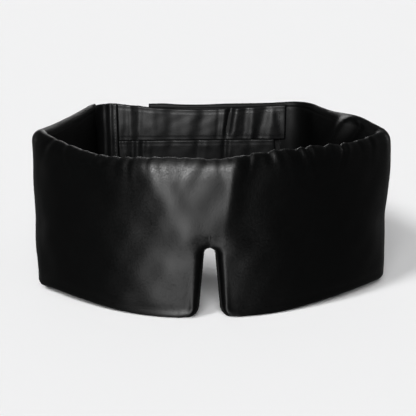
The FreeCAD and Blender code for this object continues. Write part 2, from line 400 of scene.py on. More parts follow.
def sewn_outline(low: Vector, high: Vector, count: int) -> np.ndarray:
    """The line of stitches just inside the edge of a flat patch.

    Args:
        low: the patch's low corner.
        high: the patch's high corner.
        count: how many points the line has.

    Returns:
        Sideways place and height of each point.
    """
    corners = np.array([[low.x, low.z], [high.x, low.z], [high.x, high.z], [low.x, high.z], [low.x, low.z]])
    corners = corners + np.sign(corners.mean(axis=0) - corners) * 1.6 * MM
    corners[-1] = corners[0]
    return resample(corners, np.linspace(0, 1, count))


@dataclass
class PaddedBand:
    """The padded front, wings and tab as one continuous quilted body."""

    path: BandPath
    notch: Notch
    height: float
    roll: float = 6.5 * MM
    foot: float = 12 * MM
    step: float = 1.5 * MM
    split: float = 115 * MM
    seam_drop: float = 4.0 * MM
    wing_foot: float = 40 * MM
    wing_bottom: float = 50 * MM
    wing_end: float = 104.5 * MM
    root_start: float = 92 * MM
    tab_end_x: float = -42 * MM
    tab_fold_x: float = 66.5 * MM
    flare: float = 2.2 * MM
    top_line: tuple = (
        (-243, 1.6), (-208, 2.4), (-173, 3.9), (-138, 6.6), (-110, 2.2), (-80, -1.6), (-50, -0.6), (-20, 0.9),
        (10, -0.4), (40, 3.7), (70, 4.1), (100, 1.2), (130, 3.0), (173, 6.6), (208, 1.6),
        (243, 1.0), (298, -1.1))
    foot_line: tuple = ((-173, 0.0), (-140, 2.9), (-118, 5.2), (-95, 3.8), (-70, 1.4), (-45, 0.0), (45, 0.0),
                        (70, 2.0), (95, 3.6), (118, 4.8), (140, 4.0), (173, 0.0))
    sway: tuple = ((-79.0, 0.0), (-25.0, 3.9), (31.0, 2.3), (70.0, 0.0))

    def line(self, knots: tuple) -> np.ndarray:
        """A smooth line through (path distance, height) pairs in millimetres, at every vertex."""
        places = np.arange(-0.36, 0.36, 0.002)
        heights = np.interp(places, *(np.array(knots).T * MM))
        window = np.hanning(17)
        return np.interp(self.s, places, np.convolve(heights, window / window.sum(), "same"))

    def hang(self) -> None:
        """Let the cloth rise, sag and flare along its length as it does when it stands."""
        up = np.clip(self.z / self.height, 0, 1)
        top, foot = self.line(self.top_line), self.line(self.foot_line)
        reach = np.abs(self.s)
        far = ease((reach - 70 * MM) / (60 * MM)) * (1 - ease((reach - 150 * MM) / (50 * MM)))
        self.points[:, 2] += top * up ** 2 + foot * (1 - up) ** 2
        self.points[:, 0] += np.sign(self.s) * self.flare * far * (1 - up)
        self.points[:, 0] += np.interp(self.points[:, 1], *(np.array(self.sway).T * MM))

    def build(self) -> None:
        """Lay out the flat cloth, fold it into shape and let it hang."""
        shares, apex = self.rows()
        self.shares, self.apex = shares, apex
        halves = [self.half(Side.RIGHT), self.half(Side.LEFT)]
        loops = 2 * len(shares) - 2
        faces, rows, first = [], [], 0
        for half in halves:
            columns = half["s"].shape[1]
            grid = ClothMesh.grid_faces(loops, columns, closed=True) + first
            faces.append(grid if half["side"] is Side.LEFT else grid[:, ::-1])
            rows.append(np.repeat(np.arange(loops) + 0.5, columns - 1))
            first += half["s"].size
        self.s = np.concatenate([half["s"].reshape(-1) for half in halves])
        self.z = np.concatenate([half["z"].reshape(-1) for half in halves])
        self.face = np.concatenate([half["face"].reshape(-1) for half in halves])
        faces = np.concatenate(faces)
        points = self.fold()
        _, kept, index = np.unique(
            np.round(points / MM, 4), axis=0, return_index=True, return_inverse=True)
        self.faces = index.reshape(-1)[faces]
        self.face_row = np.concatenate(rows)
        self.face_s = self.s[faces].mean(axis=1)
        self.s, self.z, self.face = self.s[kept], self.z[kept], self.face[kept]
        self.edges = {name: gap[kept] for name, gap in self.edges.items()}
        self.points = points[kept]
        self.hang()
        self.normals = self.vertex_normals(self.points)

    def rows(self) -> tuple[np.ndarray, int]:
        """Shares of the height for the rows, and which row is the notch's apex."""
        side = self.notch.side()
        below = float(np.linalg.norm(np.diff(side, axis=0), axis=1).sum())
        above = self.height - self.notch.height
        low = graded(below, self.step, start=self.roll)
        high = graded(above, self.step, start=self.roll, end=self.roll)
        run = np.concatenate([low, below + high[1:]])
        return run / run[-1], len(low) - 1

    def bottom(self, s: np.ndarray) -> np.ndarray:
        """Height of the band's lower edge at a path distance."""
        run = self.path.wing_length - self.wing_foot
        return self.wing_bottom * ease((self.path.wing_place(np.abs(s)) - self.wing_foot) / run)

    def front_half(self) -> tuple[np.ndarray, np.ndarray]:
        """Places on the flat cloth of half the front, rows by columns, fitted to the notch.

        Returns:
            Path distance and height of each vertex.
        """
        shares = self.shares
        inner = resample(np.concatenate([self.notch.side(), [[0.0, self.height]]]), shares)
        across = graded(self.split, self.step, start=self.roll, turn=7) / self.split
        foot = self.notch.corner()[self.notch.samples:]
        foot = resample(np.concatenate([foot, [[self.split, 0.0]]]), across)
        outer = np.stack([np.full_like(shares, self.split), shares * self.height], axis=1)
        top = np.stack([across * self.split, np.full_like(across, self.height)], axis=1)
        u, v = across[None, :, None], shares[:, None, None]
        sides = (1 - u) * inner[:, None, :] + u * outer[:, None, :]
        ends = (1 - v) * foot[None, :, :] + v * top[None, :, :]
        low = (1 - u) * inner[0] + u * outer[0]
        high = (1 - u) * inner[-1] + u * outer[-1]
        place = sides + ends - (1 - v) * low - v * high
        return place[:, :, 0], place[:, :, 1]

    def end(self, side: Side) -> float:
        """Path distance at which the band stops on one side."""
        if side is Side.RIGHT:
            return self.path.path_place(self.wing_end)
        return self.path.corner_end + float(self.path.tab_start[0]) - self.tab_end_x

    def half(self, side: Side) -> dict:
        """All vertices of one side as a closed loop of rows: up the outer face, down the inner.

        Args:
            side: which side.

        Returns:
            Arrays of path distance, height and face, and the side.
        """
        s, z = self.front_half()
        length = self.end(side) - self.split
        back = self.split + graded(length, self.step, end=self.roll / 2)[1:]
        low = self.bottom(back)[None, :]
        z = np.concatenate([z, low + self.shares[:, None] * (self.height - low)], axis=1)
        s = np.concatenate([s, np.broadcast_to(back, (len(self.shares), len(back)))], axis=1)
        down = slice(-2, 0, -1)
        faces = np.concatenate([np.ones_like(s), -np.ones_like(s[down])])
        return {
            "s": np.concatenate([s, s[down]]) * side.value,
            "z": np.concatenate([z, z[down]]),
            "face": faces,
            "side": side,
        }

    def edge_distances(self) -> dict[str, np.ndarray]:
        """Distance of every vertex from each edge of the cloth."""
        far = np.abs(self.s)
        slope = np.gradient(self.bottom(np.linspace(0, 0.4, 401)), 0.001)
        tilt = np.interp(far, np.linspace(0, 0.4, 401), slope)
        end = np.where(self.s < 0, self.end(Side.RIGHT), self.end(Side.LEFT))
        return {
            "top": self.height - self.z,
            "bottom": (self.z - self.bottom(self.s)) / np.sqrt(1 + tilt * tilt),
            "notch": self.notch.distance(self.s, self.z),
            "end": end - far,
        }

    def fold(self) -> np.ndarray:
        """Places in space of the flat cloth's vertices, padded but still without wrinkles."""
        thick = self.path.thickness(np.abs(self.s))
        outer = self.face > 0
        self.edges = self.edge_distances()
        under = 1 - ease(self.edges["bottom"] / self.foot)
        middle = thick * (0.5 - 0.24 * under)
        puff = np.where(outer, middle, thick - middle)
        roll = np.minimum(self.roll, 0.56 * thick)
        widths = {
            "top": roll,
            "bottom": np.where(outer, 0.42 * roll, roll),
            "notch": 0.7 * roll,
            "end": roll,
        }
        for name, gap in self.edges.items():
            puff = puff * np.sqrt(1 - (1 - np.clip(gap / widths[name], 0, 1)) ** 2)
        depth = middle - self.face * puff
        x, y = self.path.at(self.s, depth)
        return np.stack([x, y, self.z], axis=1)

    def vertex_normals(self, points: np.ndarray) -> np.ndarray:
        """Outward normals of the closed body.

        Args:
            points: the vertices' places.

        Returns:
            One unit vector per vertex.
        """
        a, b, c, d = (points[self.faces[:, k]] for k in range(4))
        across = np.cross(c - a, d - b)
        total = np.zeros_like(points)
        for k in range(4):
            np.add.at(total, self.faces[:, k], across)
        return total / np.maximum(np.linalg.norm(total, axis=1, keepdims=True), 1e-12)

    def wrinkle(self) -> None:
        """Move the padded cloth into its puckers, soft hollows, seams and buckles."""
        top, bottom = self.edges["top"], self.edges["bottom"]
        self.points = self.points + self.normals * self.relief()[:, None]
        lip = bump(top / (3 * MM)) + bump(bottom / (3 * MM))
        wave = Ripples(seed=5, length=46 * MM)(self.s, 0 * self.s)
        clear = ease(self.edges["notch"] / (12 * MM)) * (bottom > 4 * MM)
        self.points[:, 2] += 0.35 * MM * lip * wave * clear
        self.normals = self.vertex_normals(self.points)

    def relief(self) -> np.ndarray:
        """Outward movement of every vertex of the padded cloth."""
        edges, s, z = self.edges, self.s, self.z
        outer = self.face > 0
        calm = np.ones_like(s)
        for gap in edges.values():
            calm = calm * ease(gap / (14 * MM))
        soft = 0.55 * Ripples(seed=11, length=64 * MM)(s, z) + 0.2 * Ripples(seed=12, length=24 * MM)(s, z)
        left = self.split + 60 * MM - np.abs(s)
        crown = 0.8 * MM * np.sin(math.pi * np.clip(z / self.height, 0, 1)) * ease(left / (60 * MM))
        relief = np.where(outer, soft, 0.8 * soft) * calm * MM + np.where(outer, crown, 0.0)
        relief = relief + np.where(outer, self.keel(), 0.0)
        tuck = np.clip(1 - z / self.notch.height, 0, 1) ** 2 * ease((90 * MM - np.abs(s)) / (50 * MM))
        tuck = tuck * ease(edges["bottom"] / (6 * MM)) * ease(edges["notch"] / (6 * MM))
        relief = relief - 2.0 * MM * tuck * outer
        relief = relief + self.puckers()
        relief = relief - 0.8 * MM * bump((edges["top"] - self.seam_drop) / (0.8 * MM)) * ~outer
        relief = relief - 0.35 * MM * bump((edges["bottom"] - 1.6 * MM) / (0.8 * MM)) * outer
        relief = relief + self.buckle()
        return relief

    def keel(self) -> np.ndarray:
        """The flat V above the notch: a soft fold down its left side, a sharper one down its right."""
        up = (self.z - self.notch.height) / (self.height - self.notch.height)
        rise = ease(up * 0.9 + 0.35)
        left = -(10 + 32 * np.clip(up, -0.1, 1)) * MM
        right = (8.5 + 7 * np.clip(up, 0, 1)) * MM
        centre, reach = (left + right) / 2, (right - left) / 2
        past = self.s - centre
        flat = past ** 2 / (2 * self.path.radius)
        crest = reach ** 2 / (2 * self.path.radius) + 0.5 * MM
        fall = np.where(past > 0, 9 * MM, 46 * MM)
        beyond = np.maximum(np.abs(past) - reach, 0)
        slope = crest * bump(beyond / fall)
        blur = np.where(past > 0, 4.5 * MM, 26 * MM)
        inside = 1 - ease((np.abs(past) - reach + 0.6 * blur) / blur)
        height = inside * (flat + 0.5 * MM * (past / np.maximum(reach, 1e-6)) ** 2) + (1 - inside) * slope
        return height * rise * ease(self.edges["notch"] / (7 * MM)) * ease(self.edges["top"] / (5 * MM) + 0.3)

    def puckers(self) -> np.ndarray:
        """Pinches where the outer cloth is gathered over the top edge."""
        draw = np.random.default_rng(21)
        top = self.edges["top"]
        total = np.zeros_like(self.s)
        place = -118 * MM
        while place < 118 * MM:
            strong = 1.2 if 22 * MM < place < 100 * MM else 0.55
            depth = draw.uniform(0.5, 1.2) * strong * MM
            width = draw.uniform(1.3, 2.6) * MM
            reach = draw.uniform(3.5, 8.0) * MM
            slant = draw.uniform(-0.5, 0.5)
            across = (self.s - place - slant * top * self.face) / width
            ridge = (self.s - place - 2.1 * width - slant * top * self.face) / (1.3 * width)
            fade = np.exp(-top / np.where(self.face > 0, reach, 3 * MM))
            total = total + (0.55 * bump(ridge) - bump(across)) * depth * fade
            place += draw.uniform(7.0, 15.0) * MM
        return total

    def buckle(self) -> np.ndarray:
        """The lining's fold inside the left temple, where the padding is bent."""
        u = self.path.wing_place(self.s)
        drop = self.edges["top"]
        inside = (self.face < 0) & (self.s > 0)
        line = 40 * MM + 0.25 * drop + 0.03 * drop ** 2 / MM
        across = u - line
        length = ease((drop + 0.5 * MM) / (6 * MM)) * (1 - ease((drop - 22 * MM) / (24 * MM)))
        ridge = 6.0 * MM * bump(across / np.where(across > 0, 12 * MM, 5.5 * MM))
        pocket = -3.0 * MM * bump((across + 12 * MM) / (7 * MM))
        return np.where(inside, (ridge + pocket) * length, 0.0)

    def piece(self, name: str, start: float, stop: float, face: Face | None,
              shrink: float = 0.0) -> bpy.types.Object:
        """One sewn piece of the band.

        Args:
            name: the piece's name.
            start: path distance where it starts.
            stop: path distance where it stops.
            face: which cloth, or None for the whole closed body.
            shrink: how far inside the body the piece lies.

        Returns:
            The new object.
        """
        seam = int(np.argmin(np.abs((1 - self.shares) * self.height - self.seam_drop)))
        seam_row = 2 * len(self.shares) - 2 - seam
        chosen = (self.face_s > start) & (self.face_s < stop)
        if face is Face.OUTER:
            chosen &= self.face_row < seam_row
        if face is Face.INNER:
            chosen &= self.face_row > seam_row
        uv = np.stack([self.s, self.z * self.face], axis=1)
        points = self.points - self.normals * shrink
        normals = None if shrink else self.normals
        return ClothMesh.make(name, points, self.faces[chosen], uv, normals)


@dataclass
class Puffing:
    """Cloth simulation that swells the padded band between its seams."""

    band: PaddedBand
    step: float = 4.5 * MM
    pressure: float = 4.0
    spare: float = 0.03
    limit: float = 1.0 * MM
    rounds: int = 8
    frames: int = 20

    def apply(self) -> None:
        """Swell the band's cloth."""
        coarse = replace(self.band, step=self.step)
        coarse.build()
        item = ClothMesh.make("band_cloth_trial", coarse.points, coarse.faces)
        moved = self.soften(coarse, self.simulate(item, coarse))
        bpy.data.objects.remove(item)
        reach = np.linalg.norm(moved, axis=1, keepdims=True)
        moved = moved * self.limit * np.tanh(reach / self.limit) / np.maximum(reach, 1e-9)
        self.band.points = self.band.points + self.carry(coarse, moved)
        self.band.normals = self.band.vertex_normals(self.band.points)
        LOG.info("band swelled by up to %.1f mm", float(np.abs(moved).max()) / MM)

    def simulate(self, item: bpy.types.Object, coarse: PaddedBand) -> np.ndarray:
        """Run the cloth with air pressure inside and its seams held.

        Args:
            item: the trial cloth.
            coarse: the band that the trial cloth was made from.

        Returns:
            The movement of each vertex.
        """
        gap = np.minimum.reduce(list(coarse.edges.values()))
        held = 1 - ease((gap - 2 * MM) / (7 * MM))
        held = np.maximum(held, ease((coarse.s - coarse.path.corner_start + 20 * MM) / (20 * MM)))
        group = item.vertex_groups.new(name="seams")
        for index, weight in enumerate(held):
            group.add([index], float(weight), "REPLACE")
        cloth = item.modifiers.new("Cloth", "CLOTH")
        settings = cloth.settings
        settings.quality = 5
        settings.mass = 0.15
        settings.tension_stiffness = 15
        settings.compression_stiffness = 15
        settings.bending_stiffness = 0.3
        settings.shrink_min = -self.spare
        settings.use_pressure = True
        settings.uniform_pressure_force = self.pressure
        settings.vertex_group_mass = group.name
        settings.effector_weights.gravity = 0
        scene = bpy.context.scene
        cloth.point_cache.frame_end = self.frames
        for frame_number in range(1, self.frames + 1):
            scene.frame_set(frame_number)
        made = item.evaluated_get(bpy.context.evaluated_depsgraph_get()).to_mesh()
        place = np.empty(3 * len(made.vertices), np.float32)
        made.vertices.foreach_get("co", place)
        scene.frame_set(1)
        return place.reshape(-1, 3).astype(float) - coarse.points

    def soften(self, coarse: PaddedBand, moved: np.ndarray) -> np.ndarray:
        """Even out the movement between neighbours, and fade it out towards the seams.

        Args:
            coarse: the band that the trial cloth was made from.
            moved: the movement of each of its vertices.

        Returns:
            The evened movement.
        """
        count = np.zeros(len(moved))
        np.add.at(count, coarse.faces.reshape(-1), 1.0)
        for _ in range(self.rounds):
            middle = moved[coarse.faces].mean(axis=1)
            total = np.zeros_like(moved)
            for corner in range(4):
                np.add.at(total, coarse.faces[:, corner], middle)
            moved = total / np.maximum(count, 1)[:, None]
        gap = np.minimum.reduce(list(coarse.edges.values()))
        return moved * ease(gap / (14 * MM))[:, None]

    def carry(self, coarse: PaddedBand, moved: np.ndarray) -> np.ndarray:
        """Carry the movement of the trial cloth over to the band's own vertices.

        Args:
            coarse: the band that the trial cloth was made from.
            moved: the movement of each of its vertices.

        Returns:
            The movement of each vertex of the band.
        """
        tree = KDTree(len(coarse.s))
        for index, place in enumerate(zip(coarse.s, coarse.z, coarse.face * 0.02)):
            tree.insert(place, index)
        tree.balance()
        carried = np.zeros((len(self.band.s), 3))
        for index, place in enumerate(zip(self.band.s, self.band.z, self.band.face * 0.02)):
            near = tree.find_n(place, 12)
            weights = np.array([math.exp(-(distance / (4 * MM)) ** 2) + 1e-9 for _, _, distance in near])
            carried[index] = weights @ moved[[number for _, number, _ in near]] / weights.sum()
        return carried


@dataclass
class Ribbon:
    """A flat padded strip that stands on edge and follows a line in plan."""

    plan: np.ndarray
    low: float
    high: float
    thickness: float
    step: float = 1.2 * MM
    roll: float = 1.3 * MM
    closed_start: bool = True

    def grid(self) -> tuple[np.ndarray, np.ndarray, np.ndarray]:
        """Distance along, height and face of each vertex, as a closed loop of rows."""
        runs = np.linalg.norm(np.diff(self.plan, axis=0), axis=1)
        self.length = float(runs.sum())
        start = self.roll if self.closed_start else 0.0
        along = graded(self.length, self.step, start=start, end=self.roll, turn=4)
        up = self.low + graded(self.high - self.low, self.step, start=self.roll, end=self.roll, turn=4)
        a, z = np.meshgrid(along, up)
        down = slice(-2, 0, -1)
        face = np.concatenate([np.ones_like(a), -np.ones_like(a[down])])
        return np.concatenate([a, a[down]]), np.concatenate([z, z[down]]), face

    def make(self, name: str, wrinkle: Callable | None = None) -> bpy.types.Object:
        """Build the strip.

        Args:
            name: the piece's name.
            wrinkle: function of distance along, height and face that gives the movement
                of both faces towards the outer one, and the growth of the thickness.

        Returns:
            The new object.
        """
        a, z, face = self.grid()
        half = np.full_like(a, self.thickness / 2)
        edges = [z - self.low, self.high - z, self.length - a]
        if self.closed_start:
            edges.append(a)
        for gap in edges:
            half = half * np.sqrt(1 - (1 - np.clip(gap / self.roll, 0, 1)) ** 2)
        shift = np.zeros_like(a)
        if wrinkle is not None:
            shift, grow = wrinkle(a, z, face)
            half = half * (1 + grow)
        base = self.spine(a)
        ahead = self.spine(a + 0.5 * MM) - self.spine(a - 0.5 * MM)
        ahead = ahead / np.linalg.norm(ahead, axis=-1, keepdims=True)
        out = np.stack([ahead[..., 1], -ahead[..., 0]], axis=-1)
        place = base + out * (shift + face * half)[..., None]
        points = np.concatenate([place, z[..., None]], axis=-1).reshape(-1, 3)
        faces = ClothMesh.grid_faces(a.shape[0], a.shape[1], closed=True)
        _, kept, index = np.unique(
            np.round(points / MM, 4), axis=0, return_index=True, return_inverse=True)
        uv = np.stack([a.reshape(-1), (z * face).reshape(-1)], axis=1)
        return ClothMesh.make(name, points[kept], index.reshape(-1)[faces], uv[kept])

    def spine(self, a: np.ndarray) -> np.ndarray:
        """Place in plan at a distance along, carried on straight past either end."""
        run = np.concatenate([[0], np.cumsum(np.linalg.norm(np.diff(self.plan, axis=0), axis=1))])
        first, last = self.plan[1] - self.plan[0], self.plan[-1] - self.plan[-2]
        first, last = first / np.linalg.norm(first), last / np.linalg.norm(last)
        place = np.stack([np.interp(a, run, self.plan[:, k]) for k in range(2)], axis=-1)
        place = place + np.minimum(a, 0)[..., None] * first
        return place + np.maximum(a - run[-1], 0)[..., None] * last


class Nodes:
    """Short ways to add and join shader nodes."""

    def __init__(self, tree: bpy.types.NodeTree) -> None:
        """Work on one node tree."""
        self.tree = tree

    def add(self, kind: str, **settings) -> bpy.types.Node:
        """Add a node.

        Args:
            kind: the node's type name without its ShaderNode prefix.
            settings: properties, or socket values by name with spaces as underscores.

        Returns:
            The new node.
        """
        node = self.tree.nodes.new("ShaderNode" + kind)
        for key, value in settings.items():
            if hasattr(node, key):
                setattr(node, key, value)
            else:
                node.inputs[key.replace("_", " ")].default_value = value
        return node

    def join(self, start: bpy.types.NodeSocket, end: bpy.types.NodeSocket) -> None:
        """Link one socket to another."""
        self.tree.links.new(start, end)

    def maths(self, operation: str, a: bpy.types.NodeSocket | float,
              b: bpy.types.NodeSocket | float) -> bpy.types.NodeSocket:
        """A Math node on two sockets or numbers.

        Args:
            operation: the node's operation.
            a: first socket or number.
            b: second socket or number.

        Returns:
            The result socket.
        """
        node = self.add("Math", operation=operation)
        for socket, value in zip(node.inputs, (a, b)):
            if isinstance(value, (int, float)):
                socket.default_value = value
            else:
                self.join(value, socket)
        return node.outputs[0]


class Effects:
    """Node groups that several finishes share."""

    @staticmethod
    def group(name: str, inputs: dict, outputs: dict) -> tuple[bpy.types.NodeTree, Nodes]:
        """A new shader node group with named sockets.

        Args:
            name: the group's name.
            inputs: socket type by name.
            outputs: socket type by name.

        Returns:
            The group and its node maker.
        """
        tree = bpy.data.node_groups.new(name, "ShaderNodeTree")
        for label, kind in inputs.items():
            tree.interface.new_socket(label, in_out="INPUT", socket_type="NodeSocket" + kind)
        for label, kind in outputs.items():
            tree.interface.new_socket(label, in_out="OUTPUT", socket_type="NodeSocket" + kind)
        return tree, Nodes(tree)

    @staticmethod
    def weave() -> bpy.types.NodeTree:
        """Satin weave: long floats that step sideways from one thread to the next."""
        name = "satin_weave"
        if name in bpy.data.node_groups:
            return bpy.data.node_groups[name]
        tree, nodes = Effects.group(
            name, {"Place": "Vector", "Threads per metre": "Float", "Slub": "Float"}, {"Height": "Float"})
        start, end = nodes.tree.nodes.new("NodeGroupInput"), nodes.tree.nodes.new("NodeGroupOutput")
        scale = nodes.maths("MULTIPLY", start.outputs["Threads per metre"], 2 * math.pi / 20)
        warp = nodes.add("TexWave", wave_type="BANDS", bands_direction="X", Distortion=0.0)
        weft = nodes.add("TexWave", wave_type="BANDS", bands_direction="DIAGONAL", Distortion=0.0)
        slub = nodes.add("TexNoise", Detail=2.0, Roughness=0.6)
        nodes.join(start.outputs["Place"], warp.inputs["Vector"])
        nodes.join(start.outputs["Place"], weft.inputs["Vector"])
        nodes.join(start.outputs["Place"], slub.inputs["Vector"])
        nodes.join(scale, warp.inputs["Scale"])
        nodes.join(nodes.maths("MULTIPLY", scale, 0.31), weft.inputs["Scale"])
        nodes.join(nodes.maths("MULTIPLY", start.outputs["Threads per metre"], 0.55), slub.inputs["Scale"])
        threads = nodes.maths("MULTIPLY", warp.outputs["Fac"], 0.5)
        steps = nodes.maths("MULTIPLY", weft.outputs["Fac"], 0.35)
        lumps = nodes.maths("MULTIPLY", slub.outputs["Fac"], start.outputs["Slub"])
        nodes.join(nodes.maths("ADD", nodes.maths("ADD", threads, steps), lumps), end.inputs["Height"])
        return tree

    @staticmethod
    def tone() -> bpy.types.NodeTree:
        """Cloudy change over the cloth, from handling, with fine grain on top."""
        name = "cloth_tone"
        if name in bpy.data.node_groups:
            return bpy.data.node_groups[name]
        tree, nodes = Effects.group(
            name, {"Grain": "Float", "Cloud": "Float"}, {"Grain": "Float", "Cloud": "Float", "Tone": "Float"})
        start, end = nodes.tree.nodes.new("NodeGroupInput"), nodes.tree.nodes.new("NodeGroupOutput")
        place = nodes.add("TexCoord")
        fine = nodes.add("TexNoise", Scale=1150.0, Detail=2.0, Roughness=0.7)
        broad = nodes.add("TexNoise", Scale=26.0, Detail=3.0, Roughness=0.55)
        for noise in (fine, broad):
            nodes.join(place.outputs["Object"], noise.inputs["Vector"])
        grain, cloud = (
            nodes.maths("MULTIPLY", nodes.maths("SUBTRACT", noise.outputs["Fac"], 0.5), start.outputs[label])
            for noise, label in ((fine, "Grain"), (broad, "Cloud")))
        nodes.join(grain, end.inputs["Grain"])
        nodes.join(cloud, end.inputs["Cloud"])
        nodes.join(nodes.maths("ADD", nodes.maths("ADD", grain, cloud), 0.5), end.inputs["Tone"])
        return tree


@dataclass(frozen=True)
class Cloth:
    """A woven finish.

    Dark and light are the two ends of its colour, threads its threads per metre.
    """

    name: str
    dark: tuple[float, float, float]
    light: tuple[float, float, float]
    roughness: float = 0.42
    grain: float = 1.0
    cloud: float = 0.5
    threads: float = 2200.0
    slub: float = 0.5
    depth: float = 0.006 * MM
    anisotropy: float = 0.5
    sheen: float = 0.15
    specular: float = 0.5

    def material(self) -> bpy.types.Material:
        """The finish as a material, made once."""
        name = f"{self.name}_cloth"
        if name in bpy.data.materials:
            return bpy.data.materials[name]
        made = bpy.data.materials.new(name)
        made.use_nodes = True
        nodes = Nodes(made.node_tree)
        shader = made.node_tree.nodes["Principled BSDF"]
        shader.inputs["Specular IOR Level"].default_value = self.specular
        shader.inputs["Anisotropic"].default_value = self.anisotropy
        shader.inputs["Sheen Weight"].default_value = self.sheen
        shader.inputs["Sheen Roughness"].default_value = 0.35
        tone = nodes.add("Group", node_tree=Effects.tone())
        tone.inputs["Grain"].default_value = self.grain
        tone.inputs["Cloud"].default_value = self.cloud
        colour = nodes.add("ValToRGB")
        colour.color_ramp.elements[0].color = (*self.dark, 1)
        colour.color_ramp.elements[1].color = (*self.light, 1)
        nodes.join(tone.outputs["Tone"], colour.inputs["Fac"])
        nodes.join(colour.outputs["Color"], shader.inputs["Base Color"])
        shine = nodes.maths("MULTIPLY", tone.outputs["Grain"], 0.6)
        shine = nodes.maths("ADD", shine, nodes.maths("MULTIPLY", tone.outputs["Cloud"], 0.12))
        nodes.join(nodes.maths("ADD", shine, self.roughness), shader.inputs["Roughness"])
        place = nodes.add("UVMap", uv_map="cloth")
        weave = nodes.add("Group", node_tree=Effects.weave())
        weave.inputs["Threads per metre"].default_value = self.threads
        weave.inputs["Slub"].default_value = self.slub
        nodes.join(place.outputs["UV"], weave.inputs["Place"])
        relief = nodes.add("Bump", Strength=1.0, Distance=self.depth)
        rough = nodes.maths("MULTIPLY", tone.outputs["Grain"], 8.0)
        nodes.join(nodes.maths("ADD", weave.outputs["Height"], rough), relief.inputs["Height"])
        nodes.join(relief.outputs["Normal"], shader.inputs["Normal"])
        if self.anisotropy:
            warp = nodes.add("Tangent", direction_type="UV_MAP", uv_map="cloth")
            nodes.join(warp.outputs["Tangent"], shader.inputs["Tangent"])
            shader.inputs["Anisotropic Rotation"].default_value = 0.25
        return made

    def dress(self, *items: bpy.types.Object) -> None:
        """Put the finish on pieces or on nodes of the frame."""
        for item in items:
            if item.material_slots:
                for slot in item.material_slots:
                    slot.material = self.material()
            else:
                item.data.materials.append(self.material())


OUTER_SATIN = Cloth(
    "outer_satin", (0.0004, 0.0005, 0.0005), (0.0016, 0.0017, 0.0017),
    roughness=0.45, anisotropy=0.82, sheen=0.0, specular=0.1)
LINING_SATIN = Cloth(
    "lining_satin", (0.0004, 0.0005, 0.0005), (0.0014, 0.0015, 0.0015),
    roughness=0.6, grain=0.6, anisotropy=0.6, sheen=0.0, specular=0.07)
# Straps and yoke: base colour about three times lighter than the other black satins, painted light for their
# lit inner face.
STRAP_SATIN_PAINTED_LIGHT = Cloth(
    "strap_satin", (0.0015, 0.0016, 0.0017), (0.005, 0.0052, 0.0054),
    roughness=0.46, anisotropy=0.5, sheen=0.0, specular=0.085)
TAB_SATIN = Cloth(
    "tab_satin", (0.0004, 0.0005, 0.0005), (0.0016, 0.0017, 0.0017),
    roughness=0.55, anisotropy=0.5, sheen=0.0, specular=0.05)
WADDING = Cloth(
    "wadding", (0.55, 0.55, 0.53), (0.8, 0.8, 0.78),
    roughness=0.95, threads=500.0, anisotropy=0.0, sheen=0.0, specular=0.02)
THREAD = Cloth(
    "thread", (0.05, 0.05, 0.05), (0.12, 0.12, 0.12),
    roughness=0.6, threads=4000.0, anisotropy=0.0, sheen=0.0, specular=0.03)
DARK_THREAD = Cloth(
    "dark_thread", (0.004, 0.004, 0.004), (0.012, 0.012, 0.012),
    roughness=0.6, threads=4000.0, anisotropy=0.0, sheen=0.0, specular=0.03)
BINDING = Cloth(
    "binding", (0.002, 0.002, 0.002), (0.008, 0.008, 0.008),
    roughness=0.5, anisotropy=0.0, sheen=0.0, specular=0.06)
ELASTIC = Cloth(
    "elastic", (0.012, 0.012, 0.012), (0.03, 0.03, 0.03),
    roughness=0.7, threads=900.0, anisotropy=0.0, sheen=0.0, specular=0.04)
HOOKS = Cloth(
    "hook_tape", (0.008, 0.008, 0.008), (0.035, 0.035, 0.035),
    roughness=0.55, threads=700.0, depth=0.05 * MM, anisotropy=0.0, sheen=0.0, specular=0.06)
LOOPS = Cloth(
    "loop_pile", (0.010, 0.010, 0.010), (0.030, 0.030, 0.030),
    roughness=0.9, threads=600.0, depth=0.05 * MM, anisotropy=0.0, sheen=0.2, specular=0.02)
INTERLINING = Cloth(
    "interlining", (0.5, 0.5, 0.48), (0.75, 0.75, 0.73),
    roughness=0.9, anisotropy=0.0, sheen=0.0, specular=0.02)


@dataclass(frozen=True)
class Panel:
    """One flat cut piece: its length and height, and the area left once its shape is cut."""

    length: float
    height: float
    area: float


PANELS = {
    Body.FRONT: (Panel(0.232, 0.128, 0.0283), Panel(0.230, 0.108, 0.0229)),
    Body.RIGHT_WING: (Panel(0.130, 0.128, 0.0140), Panel(0.128, 0.108, 0.0108)),
    Body.LEFT_WING: (Panel(0.116, 0.128, 0.0132), Panel(0.115, 0.108, 0.0105)),
}


